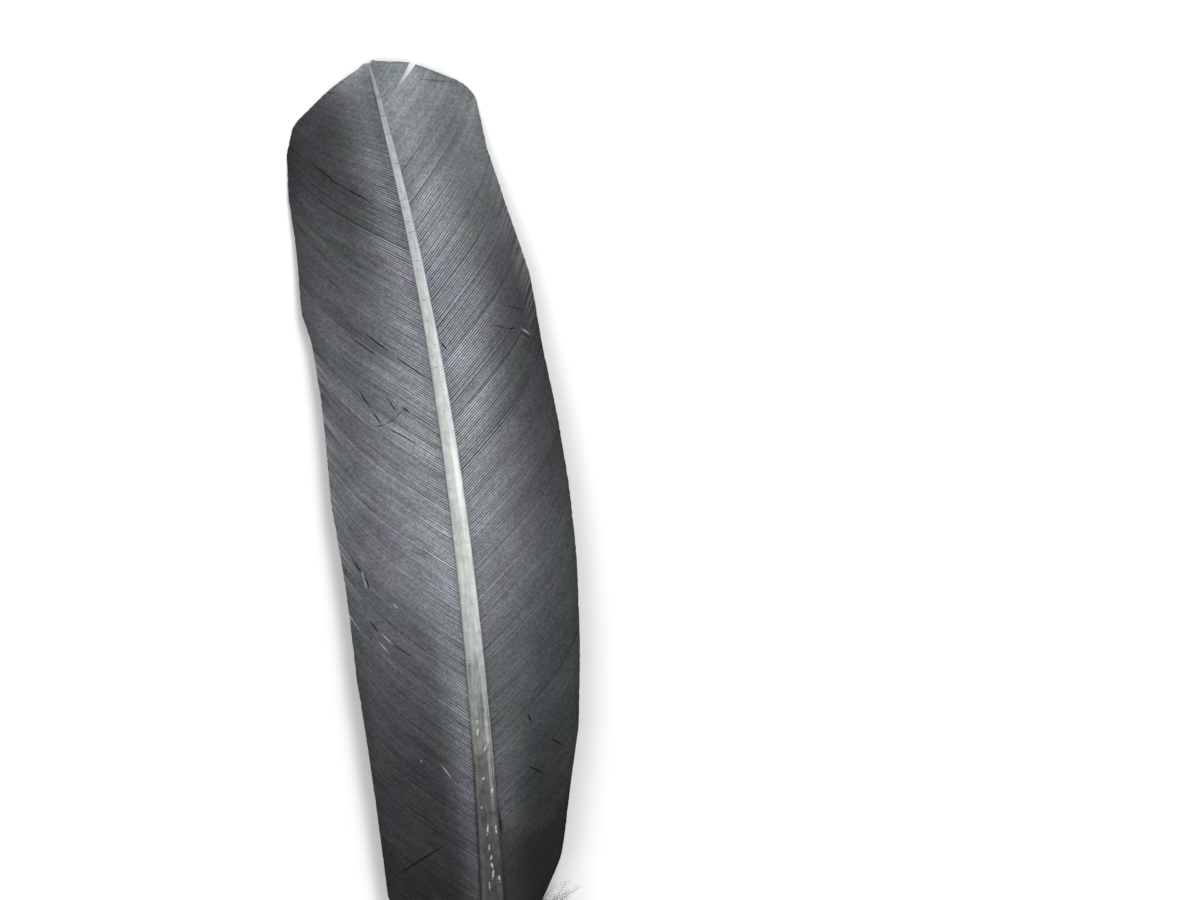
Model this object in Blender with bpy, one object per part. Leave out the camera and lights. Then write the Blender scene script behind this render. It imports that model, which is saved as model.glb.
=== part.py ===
"""A goose quill feather, dyed dark grey, lying flat with its upper side up.

Metres, +Z up. The shaft runs along Y and ends in the tip at +Y. The origin is under
the middle of the feather's box. The shaft is arched and the vane falls away on both
sides of it, so the feather rests on the end of its quill and on the two corners of
its vane by the tip.
"""
import math

import bmesh
import bpy
import numpy as np
from mathutils import Vector

MM = 0.001

# The shaft, measured along itself from the end of the quill
LENGTH = 212 * MM
QUILL_LENGTH = 43 * MM
BOW_BASE = math.radians(-5)  # sideways heading at the end of the quill
BOW_EVEN = math.radians(0.6)  # turn that builds up evenly along the shaft
BOW_TIP = math.radians(13.7)  # turn that builds up toward the tip
QUILL_END = (-5.18 * MM, -106.06 * MM)  # its X and Y, which centre the feather's box
ARCH_PLACE = 107 * MM  # where the shaft stands highest
ARCH_HEIGHT = 9.52 * MM
ARCH_RISE = 8.3 * MM  # from the end of the quill to the highest place

# Width of the shaft at places along it
SHAFT_PLACES = np.array([0, 0.4, 1.4, 4, 12, 30, 60, 86, 111, 136, 166, 180, 196, 206, 212]) * MM
SHAFT_WIDTHS = np.array([1.4, 2.0, 2.7, 3.3, 4.0, 4.4, 4.3, 3.7, 3.2, 2.8, 2.1, 1.8, 1.3, 0.8, 0.6]) * MM

# The shaft's section along the vane: across and up, left to right, in half-widths
SHAFT_BACK = [(-1, 0.2), (-0.55, 0.62), (0.55, 0.62), (1, 0.2)]
SHAFT_BELLY = [(-1, -0.35), (-0.6, -1.25), (0.6, -1.25), (1, -0.35)]
BARE_SECTIONS = [0, 0.4, 1.4, 4, 8, 14, 22, 30, 38]  # round ones, in mm from its end

# Half-width of the vane at places along the shaft, left and right as seen from above
EDGE_PLACES = {
    "left": np.array([43, 50, 60, 80, 101, 118, 134, 152, 164, 170,
                      182, 192, 200, 205, 206.4, 208.7, 210.4, 212]) * MM,
    "right": np.array([43, 50, 58, 66, 70, 80, 89, 103, 119, 131, 143, 156, 169,
                       181, 192, 201.5, 204.2, 206, 209.4, 210.8, 212]) * MM,
}
EDGE_WIDTHS = {
    "left": np.array([3, 9.5, 18.8, 20.1, 21.6, 21.9, 22.8, 21.7, 21.6, 22.5,
                      21.0, 20.3, 18.7, 16.1, 13.4, 9.5, 5.7, 0.6]) * MM,
    "right": np.array([3, 6, 8.6, 12.7, 13.6, 15.5, 17.5, 19, 20.1, 20.3, 20, 19.3, 19.4,
                       17.8, 16.7, 17, 15.4, 13, 8.3, 5.9, 0.6]) * MM,
}

# Barbs leave the shaft at these angles to it, hold them for half their length or so,
# and bend toward the tip at their ends
BARB_PLACES = np.array([44, 100, 140, 170, 195, 212]) * MM
BARB_ANGLES = {
    "left": np.radians([50, 47, 45, 43, 51, 54]),
    "right": np.radians([48, 48, 51, 57, 53, 56]),
}
BARB_END_PLACES = np.array([44, 58, 70, 82, 185, 198, 206, 212]) * MM
BARB_END_ANGLES = np.radians([46, 44, 32, 25, 25, 40, 50, 52])
BARB_BEND = 3  # power of the share of the half-width at which the bend sets in
LEAST_BARB = 0.4 * MM

VANE_STATIONS = 96  # chevron rows along the vane, ridge and groove by turns
VANE_COLUMNS = (1.0, 0.88, 0.72, 0.5, 0.27, 0.1)  # edge to shaft, share of the width
VANE_FALL = {"left": 0.0088 / MM, "right": 0.0100 / MM}  # drop over half-width squared
VANE_THICKNESS = np.array([0.62, 0.37]) * MM  # at the shaft and at the edge
RIDGE_HEIGHTS = np.array([0.22, 0.11]) * MM  # of a band of barbs, at the shaft and the edge

# Open splits between barbs: side, place of the inner end, share of the width, width
SPLITS = (
    ("right", 204 * MM, 0.14, 1.2 * MM),
    ("left", 90 * MM, 0.68, 0.5 * MM),
    ("right", 168 * MM, 0.88, 0.4 * MM),
)

SPLIT_START = 0.12 * MM  # width of a split at its inner end
SPLIT_DEPTH = 4 * MM
PAST_EDGE = 1.12  # a split's cutter runs on to this share of the half-width

DOWN_LOCKS = 9  # on each side of the quill's upper end
DOWN_START = 38.5 * MM
DOWN_END = 52 * MM
DOWN_LENGTHS = (13 * MM, 19 * MM)  # first lock and last
DOWN_ANGLES = (math.radians(76), math.radians(58))  # first lock and last, to the shaft
DOWN_UNEVEN = 0.12  # share by which the locks' lengths differ
DOWN_CURL = math.radians(34)  # turn of each lock toward the tip
DOWN_SPREAD = 2.4 * MM  # rise or fall of a lock's end, by turns
LOCK_WIDTHS = np.array([1.8, 2.2, 2.3, 2.2, 1.8, 1.2, 0.4]) * MM  # root to end
LOCK_THICKNESS = np.array([0.7, 0.8, 0.8, 0.75, 0.65, 0.5, 0.3]) * MM

VANE_COLOUR = (0.095, 0.1, 0.108, 1)
SIDE_SIGN = {"left": -1, "right": 1}


def bowed_line():
    """Places along the shaft with their X, Y and Z, from many short straight steps."""
    place = np.linspace(0, LENGTH, 2001)
    share = place / LENGTH
    heading = BOW_BASE + BOW_EVEN * share + BOW_TIP * share ** 2
    step = LENGTH / (len(place) - 1)
    x = QUILL_END[0] - np.cumsum(np.sin(heading)) * step
    y = QUILL_END[1] + np.cumsum(np.cos(heading)) * step
    z = ARCH_HEIGHT - ARCH_RISE * ((place - ARCH_PLACE) / ARCH_PLACE) ** 2
    return place, np.stack([x, y, z], axis=1), heading


LINE_PLACES, LINE_POINTS, LINE_HEADINGS = bowed_line()


def half_width(side, place):
    """Half-width of the vane on one side, rounded between its measured places."""
    near = np.clip(place + np.array([-0.7, 0, 0.7]) * MM, 0, LENGTH)
    return np.interp(near, EDGE_PLACES[side], EDGE_WIDTHS[side]).mean()


def point(place, across, height=0.0):
    """A point at a place along the shaft, so far across to the right, on the vane's curve."""
    centre = [np.interp(place, LINE_PLACES, LINE_POINTS[:, axis]) for axis in range(3)]
    heading = np.interp(place, LINE_PLACES, LINE_HEADINGS)
    beyond = max(0.0, place - LENGTH)
    x = centre[0] + across * math.cos(heading) - beyond * math.sin(heading)
    y = centre[1] + across * math.sin(heading) + beyond * math.cos(heading)
    fall = VANE_FALL["right" if across > 0 else "left"] * across ** 2
    return Vector((x, y, centre[2] - fall + height))


def barb_place(side, root, reach, share):
    """Place along the shaft of the point at this share of the half-width a barb reaches."""
    slope = 1 / math.tan(np.interp(root, BARB_PLACES, BARB_ANGLES[side]))
    bend = 1 / math.tan(np.interp(root, BARB_END_PLACES, BARB_END_ANGLES)) - slope
    return root + reach * (slope * share + bend * share ** (BARB_BEND + 1) / (BARB_BEND + 1))


def barb_reach(side, root):
    """Half-width at which the barb from this root meets the vane's edge."""
    reach = 0.0
    while reach < half_width(side, barb_place(side, root, reach, 1)):
        reach += 0.05 * MM
    return reach


def shaft_radius(place):
    """Half the shaft's width."""
    return np.interp(place, SHAFT_PLACES, SHAFT_WIDTHS) / 2


def barb_rows(side, root, ridge):
    """Upper and lower points of the vane along one barb, from its edge to the shaft."""
    rim = shaft_radius(root)
    reach = max(barb_reach(side, root), rim + LEAST_BARB)
    above, below = [], []
    for share in VANE_COLUMNS:
        across = rim + (reach - rim) * share
        place = barb_place(side, root, reach, across / reach)
        lift = ridge * np.interp(share, (0, 1), RIDGE_HEIGHTS)
        half_thick = np.interp(share, (0, 1), VANE_THICKNESS) / 2
        above.append(point(place, SIDE_SIGN[side] * across, lift + half_thick))
        below.append(point(place, SIDE_SIGN[side] * across, lift - half_thick))
    return above, below


def vane_ring(root, ridge):
    """One closed chevron section: up the left barb, over the shaft, and back underneath."""
    radius = shaft_radius(root)
    back = [point(root, across * radius, height * radius) for across, height in SHAFT_BACK]
    belly = [point(root, across * radius, height * radius) for across, height in SHAFT_BELLY]
    left_above, left_below = barb_rows("left", root, ridge)
    right_above, right_below = barb_rows("right", root, ridge)
    above = left_above + back + right_above[::-1]
    below = left_below + belly + right_below[::-1]
    return above + below[::-1]


def quill_ring(place, count):
    """One round section of the bare quill, its points numbered as a chevron section's."""
    radius = shaft_radius(place)
    ring = []
    for k in range(count):
        turn = math.pi * (1 - (k + 0.5) / (count / 2))
        ring.append(point(place, radius * math.cos(turn), radius * math.sin(turn)))
    return ring


def feather_rings():
    """Sections from the end of the quill to the tip."""
    roots = np.linspace(QUILL_LENGTH, LENGTH - LEAST_BARB, VANE_STATIONS)
    vane = [vane_ring(root, k % 2) for k, root in enumerate(roots)]
    return [quill_ring(place * MM, len(vane[0])) for place in BARE_SECTIONS] + vane


def material(name, colour, roughness):
    """A plain surface of one colour."""
    made = bpy.data.materials.new(name)
    made.use_nodes = True
    shader = made.node_tree.nodes["Principled BSDF"]
    shader.inputs["Base Color"].default_value = colour
    shader.inputs["Roughness"].default_value = roughness
    shader.inputs["Metallic"].default_value = 0.0
    return made


def wrapped(name, rings):
    """A closed body whose skin is a sheet of quads wrapped round the given sections."""
    count = len(rings[0])
    bm = bmesh.new()
    bmesh.ops.create_grid(bm, x_segments=count, y_segments=len(rings) - 1, size=1)
    for vert in bm.verts:
        around = round((vert.co.x + 1) / 2 * count)
        along = round((vert.co.y + 1) / 2 * (len(rings) - 1))
        vert.co = rings[along][around % count]
    bmesh.ops.remove_doubles(bm, verts=bm.verts, dist=1e-7)
    ends = [edge for edge in bm.edges if edge.is_boundary]
    bmesh.ops.holes_fill(bm, edges=ends)
    bmesh.ops.triangulate(bm, faces=bm.faces)
    bmesh.ops.recalc_face_normals(bm, faces=bm.faces)
    mesh = bpy.data.meshes.new(name)
    bm.to_mesh(mesh)
    bm.free()
    made = bpy.data.objects.new(name, mesh)
    bpy.context.collection.objects.link(made)
    return made


def sideways(spine, k):
    """Level direction across a line of points at its point k."""
    ahead = spine[min(k + 1, len(spine) - 1)] - spine[max(k - 1, 0)]
    return ahead.cross(Vector((0, 0, 1))).normalized()


def down_lock(side, number):
    """One soft lock at the foot of the vane, which spreads out from the quill."""
    share = number / (DOWN_LOCKS - 1)
    place = DOWN_START + (DOWN_END - DOWN_START) * share
    uneven = 1 + DOWN_UNEVEN * math.sin(5 * number + SIDE_SIGN[side])
    length = np.interp(share, (0, 1), DOWN_LENGTHS) * uneven
    leave = np.interp(share, (0, 1), DOWN_ANGLES)
    across = shaft_radius(place) / 2
    spread = DOWN_SPREAD * (1 if number % 2 else -1)
    step = length / (len(LOCK_WIDTHS) - 1)
    spine = []
    for part in np.linspace(0, 1, len(LOCK_WIDTHS)):
        spine.append(point(place, SIDE_SIGN[side] * across, spread * part ** 1.5))
        place += step * math.cos(leave - DOWN_CURL * part)
        across += step * math.sin(leave - DOWN_CURL * part)
    rings = []
    for k, centre in enumerate(spine):
        over = sideways(spine, k) * LOCK_WIDTHS[k] / 2
        up = Vector((0, 0, LOCK_THICKNESS[k] / 2))
        rings.append([centre - over, centre + up, centre + over, centre - up])
    return wrapped(f"lock_{side}_{number}", rings)


def split_cutter(side, root, inner_share, width):
    """A wedge that follows a barb outward and parts it from the next one."""
    reach = barb_reach(side, root)
    shares = np.linspace(inner_share, PAST_EDGE, 6)
    spine = [point(barb_place(side, root, reach, s), SIDE_SIGN[side] * reach * s) for s in shares]
    widths = np.interp(shares, (inner_share, 1), (SPLIT_START, width))
    up = Vector((0, 0, SPLIT_DEPTH / 2))
    rings = []
    for k, centre in enumerate(spine):
        over = sideways(spine, k) * widths[k] / 2
        rings.append([centre - over - up, centre - over + up, centre + over + up, centre + over - up])
    return wrapped(f"split_{side}_{round(root / MM)}", rings)


def combine(body, tool, operation):
    """Joins or cuts a body with a tool, which stays in the file as a wire guide."""
    tool.hide_render = True
    tool.display_type = "WIRE"
    step = body.modifiers.new(f"{operation.lower()}_{tool.name}", "BOOLEAN")
    step.operation = operation
    step.solver = "EXACT"
    step.object = tool


def build():
    for old in list(bpy.data.objects):
        bpy.data.objects.remove(old)
    feather = wrapped("quill_feather", feather_rings())
    feather.data.materials.append(material("dyed_barbs", VANE_COLOUR, 0.55))
    for side in SIDE_SIGN:
        for number in range(DOWN_LOCKS):
            combine(feather, down_lock(side, number), "UNION")
    for split in SPLITS:
        combine(feather, split_cutter(*split), "DIFFERENCE")


build()
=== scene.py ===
"""A goose quill feather, dyed dark grey, lying with its upper side up on a pale surface.

The sections follow the feather from its shaft outward: the shaft, the two vanes of
hooked barbs, and the down at their foot. The surface, light and camera come last.
"""
import math

import bmesh
import bpy
import numpy as np
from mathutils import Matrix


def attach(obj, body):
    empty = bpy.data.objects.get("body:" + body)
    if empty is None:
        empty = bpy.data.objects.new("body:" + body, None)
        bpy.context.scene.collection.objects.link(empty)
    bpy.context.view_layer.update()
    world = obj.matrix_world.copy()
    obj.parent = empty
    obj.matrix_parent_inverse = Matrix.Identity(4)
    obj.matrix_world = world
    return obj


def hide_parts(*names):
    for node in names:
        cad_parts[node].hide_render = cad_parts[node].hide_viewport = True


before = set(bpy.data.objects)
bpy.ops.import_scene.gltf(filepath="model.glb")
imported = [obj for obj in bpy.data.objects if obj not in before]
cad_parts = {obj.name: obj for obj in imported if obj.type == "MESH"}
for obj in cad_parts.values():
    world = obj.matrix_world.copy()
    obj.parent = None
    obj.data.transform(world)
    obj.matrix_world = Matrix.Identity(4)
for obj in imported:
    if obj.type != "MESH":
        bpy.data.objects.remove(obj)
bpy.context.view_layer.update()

MM = 0.001

# The shaft. One rod of horn: a hollow round quill at its foot, and above that the
# solid, squarish rachis that carries the barbs, grooved underneath. It bows to the
# left toward the tip and arches off the surface. Dye took on it only near the foot.
SHAFT_LENGTH = 212 * MM
QUILL_END = (-5.18 * MM, -106.06 * MM)
BOW = np.radians([-5, 0.6, 13.7])  # heading at the foot, even turn, turn toward the tip
ARCH_PLACE = 107 * MM
ARCH_HEIGHT = 9.52 * MM
ARCH_RISE = 8.3 * MM
SHAFT_PLACES = np.array([0, 0.4, 1.4, 4, 12, 30, 60, 86, 111,
                         136, 166, 180, 196, 201.8, 202.2, 206, 209, 212]) * MM
SHAFT_WIDTHS = np.array([1.4, 2.0, 2.7, 3.3, 4.0, 4.4, 4.3, 3.7, 3.25,
                         2.9, 2.1, 1.8, 1.3, 1.12, 1.0, 0.88, 0.75, 0.3]) * MM
ROUND_UNTIL = 38 * MM  # the quill is round below this place
SQUARE_FROM = 52 * MM
BACK_RISE = 0.55  # of the rachis over its middle, in half-widths
BELLY_DEPTH = 1.22
GROOVE_DEPTH = 0.34
GROOVE_WIDTH = 0.34
SQUARENESS = 0.55  # power on the sine and cosine round the section: 1 is round
SHAFT_SIDES = 32
SHAFT_RINGS = 300
END_CROWDING = 0.16  # share by which rings stand closer at the shaft's two ends
QUILL_HOLE = 0.45  # share of the quill's end that is its hole
QUILL_HOLE_DEPTH = 0.02
# Cracks and stains across the shaft: place, across, length along, length across (mm), tilt
SHAFT_MARKS = [
    (202.0, 0.0, 0.22, 1.6, 6), (205.6, 0.1, 0.9, 1.2, 0), (182.2, 0.1, 0.22, 1.5, 12),
    (180.3, 0.0, 0.26, 1.6, -10), (175.0, 0.2, 0.22, 1.3, 8), (186.3, -0.1, 0.2, 1.6, -6),
    (193.0, 0.2, 0.18, 1.2, 5), (167.8, -0.2, 0.3, 0.9, 15), (164.1, -0.2, 0.5, 0.5, 0),
    (159.6, 0.4, 0.22, 0.8, 0), (155.5, -0.3, 0.25, 1.4, -8), (151.3, 0.5, 0.22, 0.8, 5),
    (147.5, 0.1, 0.4, 0.6, 0), (143.8, -0.3, 0.35, 0.4, 0), (133.5, -0.8, 0.3, 0.9, 4),
    (198.6, 0.0, 0.2, 1.1, -8),
]
# Dark smudges low on the shaft, pale flecks where the dye didn't take, and painted highlights
# along its back, each as the marks above
SHAFT_SMUDGES = [
    (112.8, 0.5, 1.6, 0.5, 5), (108.4, 0.4, 1.4, 0.5, 0), (101.6, 0.35, 3.4, 0.7, 4),
    (101.6, -1.0, 4.4, 0.6, -3), (97.6, 0.1, 2.6, 0.5, 3), (79.0, -0.5, 1.8, 1.0, 10),
    (93.6, 0.8, 1.4, 0.5, 0), (73.0, 2.0, 4.2, 0.5, 0),
]
SHAFT_FLECKS = [
    (91.4, -0.55, 0.9, 0.6, 0), (89.6, -0.6, 1.8, 0.6, 8), (86.6, 0.55, 1.5, 0.5, 25),
    (81.2, -0.2, 0.6, 0.5, 0), (78.9, 1.2, 2.1, 0.5, 18), (71.9, -0.1, 2.7, 0.44, 8),
    (72.1, 1.45, 2.3, 0.44, 0), (66.9, 0.25, 1.2, 0.5, 15), (65.5, 0.3, 1.2, 0.56, -10),
    (63.9, 0.4, 2.1, 0.5, 8), (63.0, 1.5, 1.6, 0.52, -8), (61.9, -0.35, 1.7, 0.34, 0),
    (76.0, -0.9, 0.7, 0.34, 0), (68.8, 0.0, 1.4, 0.30, 6),
]
SHAFT_PAINTED_HIGHLIGHTS = [(134.5, 0.68, 19.0, 1.25, 0), (139.0, 0.6, 9.0, 0.8, -1), (132.0, 0.7, 8.0, 0.9, 0)]
# How pale the horn is at places in mm along the shaft: clear at the end of the quill, darkest
# where the photograph's lower edge cuts it, palest in its middle, and duller at the tip
HORN_TONES = [
    (0, 0.25), (30, 0.17), (52, 0.04), (62, 0.03), (74, 0.055), (84, 0.09), (87, 0.16), (95, 0.22),
    (99, 0.31), (107, 0.42), (120, 0.50), (145, 0.51), (170, 0.46), (180, 0.41), (192, 0.40),
    (202, 0.31), (212, 0.23),
]
# It is warm at the end of the quill and a little blue at the tip
HORN_TINTS = [
    (0, (1.02, 1.0, 0.92)), (60, (0.96, 1.0, 0.94)), (130, (0.95, 1.0, 0.96)), (212, (0.95, 1.0, 1.03)),
]
# Pale margins: shares of the half-width between which each lies, places along, and strengths
MARGINS = [
    ((0.40, 0.50, 0.70, 0.78), (72, 80, 94, 106), (0, 0.35, 0.8, 0)),
    ((0.84, 0.89, 0.95, 0.99), (76, 82, 100, 108), (0, 0.45, 0.6, 0)),
    ((-0.97, -0.88, -0.82, -0.76), (94, 98, 103, 108), (0, 0.5, 0.5, 0)),
]
MARGIN_COLOUR = (0.33, 0.345, 0.345)
STREAK_COLOUR = (0.12, 0.125, 0.12)
DARK_SIDE_COLOUR = (0.016, 0.017, 0.018)
SMUDGE_SHADE = (0.30, 0.32, 0.31)  # shades darken the colour below them by their own factor
FLECK_COLOUR = (0.47, 0.49, 0.47)
PAINTED_HIGHLIGHT_COLOUR = (0.80, 0.825, 0.80)
CRACK_SHADE = (0.25, 0.25, 0.25)


def shaft_line(place):
    """X, Y, Z of the shaft's middle at places along it, and its heading there."""
    steps = np.linspace(0, SHAFT_LENGTH, 2001)
    share = steps / SHAFT_LENGTH
    turn = BOW[0] + BOW[1] * share + BOW[2] * share ** 2
    x = QUILL_END[0] - np.cumsum(np.sin(turn)) * steps[1]
    y = QUILL_END[1] + np.cumsum(np.cos(turn)) * steps[1]
    heading = np.interp(place, steps, turn)
    beyond = np.maximum(place - SHAFT_LENGTH, 0)
    return (np.interp(place, steps, x) - beyond * np.sin(heading),
            np.interp(place, steps, y) + beyond * np.cos(heading),
            ARCH_HEIGHT - ARCH_RISE * ((place - ARCH_PLACE) / ARCH_PLACE) ** 2, heading)


def shaft_radius(place):
    """Half the shaft's width."""
    return np.interp(place, SHAFT_PLACES, SHAFT_WIDTHS) / 2


def tube(sides, rings):
    """A closed upright tube, one unit tall from Z = 0, with rings of points along it."""
    bm = bmesh.new()
    bmesh.ops.create_cone(bm, cap_ends=True, segments=sides, radius1=1, radius2=1, depth=1)
    bmesh.ops.translate(bm, verts=bm.verts, vec=(0, 0, 0.5))
    upright = [e for e in bm.edges if abs(e.verts[0].co.z - e.verts[1].co.z) > 0.5]
    bmesh.ops.subdivide_edges(bm, edges=upright, cuts=rings - 2)
    return bm


def mesh_of(name, bm):
    """A smooth mesh from a bmesh, which is freed."""
    mesh = bpy.data.meshes.new(name)
    bm.to_mesh(mesh)
    bm.free()
    mesh.shade_smooth()
    return mesh


def coords(mesh):
    """A mesh's points as an array."""
    flat = np.empty(len(mesh.vertices) * 3)
    mesh.vertices.foreach_get("co", flat)
    return flat.reshape(-1, 3)


def set_coords(mesh, points):
    """Moves a mesh's points."""
    mesh.vertices.foreach_set("co", points.astype(np.float32).ravel())
    mesh.update()


def store(mesh, name, values):
    """Keeps one number for each point, for the material to read."""
    mesh.attributes.new(name, "FLOAT", "POINT").data.foreach_set("value", values.astype(np.float32).ravel())


def piece(name, mesh, material):
    """A finished piece of the feather, in place, which stands for the solid one."""
    made = bpy.data.objects.new(name, mesh)
    bpy.context.collection.objects.link(made)
    mesh.materials.append(material)
    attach(made, "root")
    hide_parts("quill_feather")


class Shader:
    """A material's nodes, added and joined by name."""

    def __init__(self, name, **settings):
        self.material = bpy.data.materials.new(name)
        self.material.use_nodes = True
        self.tree = self.material.node_tree
        self.surface = self.tree.nodes["Principled BSDF"]
        for socket, value in settings.items():
            self.surface.inputs[socket.replace("_", " ")].default_value = value

    def add(self, kind, links=(), **settings):
        """One node. links are (input, output of another node) pairs."""
        node = self.tree.nodes.new(kind)
        for key, value in settings.items():
            if key in node.inputs:
                node.inputs[key].default_value = value
            else:
                setattr(node, key, value)
        for socket, source in links:
            self.tree.links.new(source, node.inputs[socket])
        return node

    def value(self, name):
        """The number kept for each point under a name."""
        return self.add("ShaderNodeAttribute", attribute_name=name).outputs["Fac"]

    def maths(self, operation, *terms):
        """A sum on numbers or outputs."""
        node = self.tree.nodes.new("ShaderNodeMath")
        node.operation = operation
        for slot, term in enumerate(terms):
            if isinstance(term, (int, float)):
                node.inputs[slot].default_value = term
            else:
                self.tree.links.new(term, node.inputs[slot])
        return node.outputs[0]

    def vector(self, *parts):
        """A vector from (output, factor) pairs."""
        links = []
        for slot, (source, factor) in enumerate(parts):
            links.append((slot, self.maths("MULTIPLY", source, factor)))
        return self.add("ShaderNodeCombineXYZ", links).outputs[0]

    def ramp(self, source, *stops):
        """Colours or levels along a number: (place, colour) pairs."""
        node = self.tree.nodes.new("ShaderNodeValToRGB")
        colours = node.color_ramp.elements
        while len(colours) < len(stops):
            colours.new(1)
        for element, (place, colour) in zip(colours, stops):
            element.position = place
            element.color = (colour,) * 3 + (1,) if isinstance(colour, (int, float)) else (*colour, 1)
        self.tree.links.new(source, node.inputs[0])
        return node.outputs[0]

    def steps(self, source, places, levels):
        """A number that runs straight from one level to the next at places along another."""
        total = levels[0]
        for k in range(len(places) - 1):
            if levels[k + 1] != levels[k]:
                node = self.add("ShaderNodeMapRange", [("Value", source)], **{
                    "From Min": places[k], "From Max": places[k + 1],
                    "To Min": 0.0, "To Max": levels[k + 1] - levels[k]})
                total = self.maths("ADD", total, node.outputs[0])
        return total

    def mix(self, blend, amount, first, second):
        """Two colours mixed."""
        node = self.tree.nodes.new("ShaderNodeMix")
        node.data_type = "RGBA"
        node.blend_type = blend
        for socket, source in ((0, amount), (6, first), (7, second)):
            if isinstance(source, (int, float)):
                node.inputs[socket].default_value = source
            elif isinstance(source, tuple):
                node.inputs[socket].default_value = (*source, 1)
            else:
                self.tree.links.new(source, node.inputs[socket])
        return node.outputs[2]

    def noise(self, scale, detail=3.0, vector=None, roughness=0.5):
        """Soft noise on the object's own coordinates, or on a given vector."""
        vector = vector or self.add("ShaderNodeTexCoord").outputs["Object"]
        return self.add("ShaderNodeTexNoise", [("Vector", vector)], Scale=scale, Detail=detail,
                        Roughness=roughness).outputs["Fac"]

    def marks(self, places, spots, soft=0.5):
        """1 on oval spots of a map of the piece in mm, 0 off them."""
        total = 0.0
        for along, across, length, width, tilt in spots:
            frame_of = self.add("ShaderNodeMapping", [("Vector", places)], vector_type="TEXTURE",
                                Location=(along, across, 0), Rotation=(0, 0, math.radians(tilt)),
                                Scale=(length / 2, width / 2, 1))
            far = self.add("ShaderNodeVectorMath", [(0, frame_of.outputs[0])], operation="LENGTH")
            level = self.add("ShaderNodeMapRange", [("Value", far.outputs["Value"])],
                             **{"From Min": 1.0, "From Max": 1.0 - soft})
            total = self.maths("MAXIMUM", total, level.outputs[0])
        return total

    def bump(self, *layers):
        """Relief from (height, depth in metres) pairs, the coarsest first."""
        normal = None
        for height, depth in layers:
            links = [("Height", height)] + ([("Normal", normal)] if normal else [])
            normal = self.add("ShaderNodeBump", links, Distance=depth, Strength=1.0).outputs[0]
        self.join("Normal", normal)

    def join(self, socket, source):
        """Drives one of the surface's inputs."""
        self.tree.links.new(source, self.surface.inputs[socket])


bm = tube(SHAFT_SIDES, SHAFT_RINGS)
foot = min(bm.faces, key=lambda face: face.calc_center_median().z)
bmesh.ops.inset_individual(bm, faces=[foot], thickness=1 - QUILL_HOLE)
hole = bmesh.ops.extrude_discrete_faces(bm, faces=[foot])["faces"]
bmesh.ops.translate(bm, verts=hole[0].verts, vec=(0, 0, QUILL_HOLE_DEPTH))
shaft_mesh = mesh_of("shaft", bm)
template = coords(shaft_mesh)
angle = np.arctan2(template[:, 1], template[:, 0])
wide = np.hypot(template[:, 0], template[:, 1])
place = SHAFT_LENGTH * (template[:, 2] - END_CROWDING * np.sin(2 * np.pi * template[:, 2]) / np.pi)
radius = shaft_radius(place) * wide
square = np.clip((place - ROUND_UNTIL) / (SQUARE_FROM - ROUND_UNTIL), 0, 1)
power = 1 + (SQUARENESS - 1) * square
over = np.sign(np.cos(angle)) * np.abs(np.cos(angle)) ** power
rise = np.sign(np.sin(angle)) * np.abs(np.sin(angle)) ** power
height = np.where(rise > 0, rise * (1 + (BACK_RISE - 1) * square), rise * (1 + (BELLY_DEPTH - 1) * square))
height += GROOVE_DEPTH * square * np.exp(-(over / GROOVE_WIDTH) ** 2) * (rise < 0)
x, y, z, heading = shaft_line(place)
across = over * radius
set_coords(shaft_mesh, np.stack([x + across * np.cos(heading), y + across * np.sin(heading),
                                 z + height * radius], axis=1))
store(shaft_mesh, "along", place / MM)
store(shaft_mesh, "across", across / MM)
store(shaft_mesh, "over", over)
store(shaft_mesh, "up", rise)

horn = Shader("shaft_horn", Roughness=0.36, IOR=1.54, Specular_IOR_Level=0.3)
along = horn.value("along")
over = horn.value("over")
up = horn.value("up")
share = horn.maths("DIVIDE", along, SHAFT_LENGTH / MM)
tone, tint = [horn.ramp(share, *[(at * MM / SHAFT_LENGTH, level) for at, level in stops])
              for stops in (HORN_TONES, HORN_TINTS)]
pale = horn.mix("MULTIPLY", 1.0, tone, tint)
grain = horn.noise(1.0, 4, horn.vector((along, 0.25), (over, 3.0), (up, 3.0)))
blotches = horn.noise(1.0, 3, horn.vector((along, 0.9), (over, 0.8), (up, 0.8)))
colour = horn.mix("MULTIPLY", 1.0, pale, horn.ramp(grain, (0.30, 0.80), (0.5, 0.98), (0.68, 1.08)))
colour = horn.mix("MULTIPLY", 1.0, colour, horn.ramp(blotches, (0.32, 0.90), (0.66, 1.07)))
# Toward the foot the dye shows through in dark streaks, between pale margins
streaks = horn.noise(1.0, 2, horn.vector((along, 0.22), (over, 2.2), (up, 1.0)))
streaked = horn.maths("MULTIPLY", horn.steps(streaks, (0.50, 0.58), (0, 0.62)),
                      horn.steps(along, (84, 90, 100, 107), (0.25, 1, 1, 0)))
colour = horn.mix("MIX", streaked, colour, STREAK_COLOUR)
for width, length, amounts in MARGINS:
    margin = horn.maths("MULTIPLY", horn.steps(over, width, (0, 1, 1, 0)), horn.steps(along, length, amounts))
    colour = horn.mix("MIX", margin, colour, MARGIN_COLOUR)
dark_side = horn.maths("MULTIPLY", horn.steps(over, (-0.93, -0.80), (0.65, 0)),
                       horn.steps(along, (82, 90), (1, 0)))
colour = horn.mix("MIX", dark_side, colour, DARK_SIDE_COLOUR)
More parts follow.
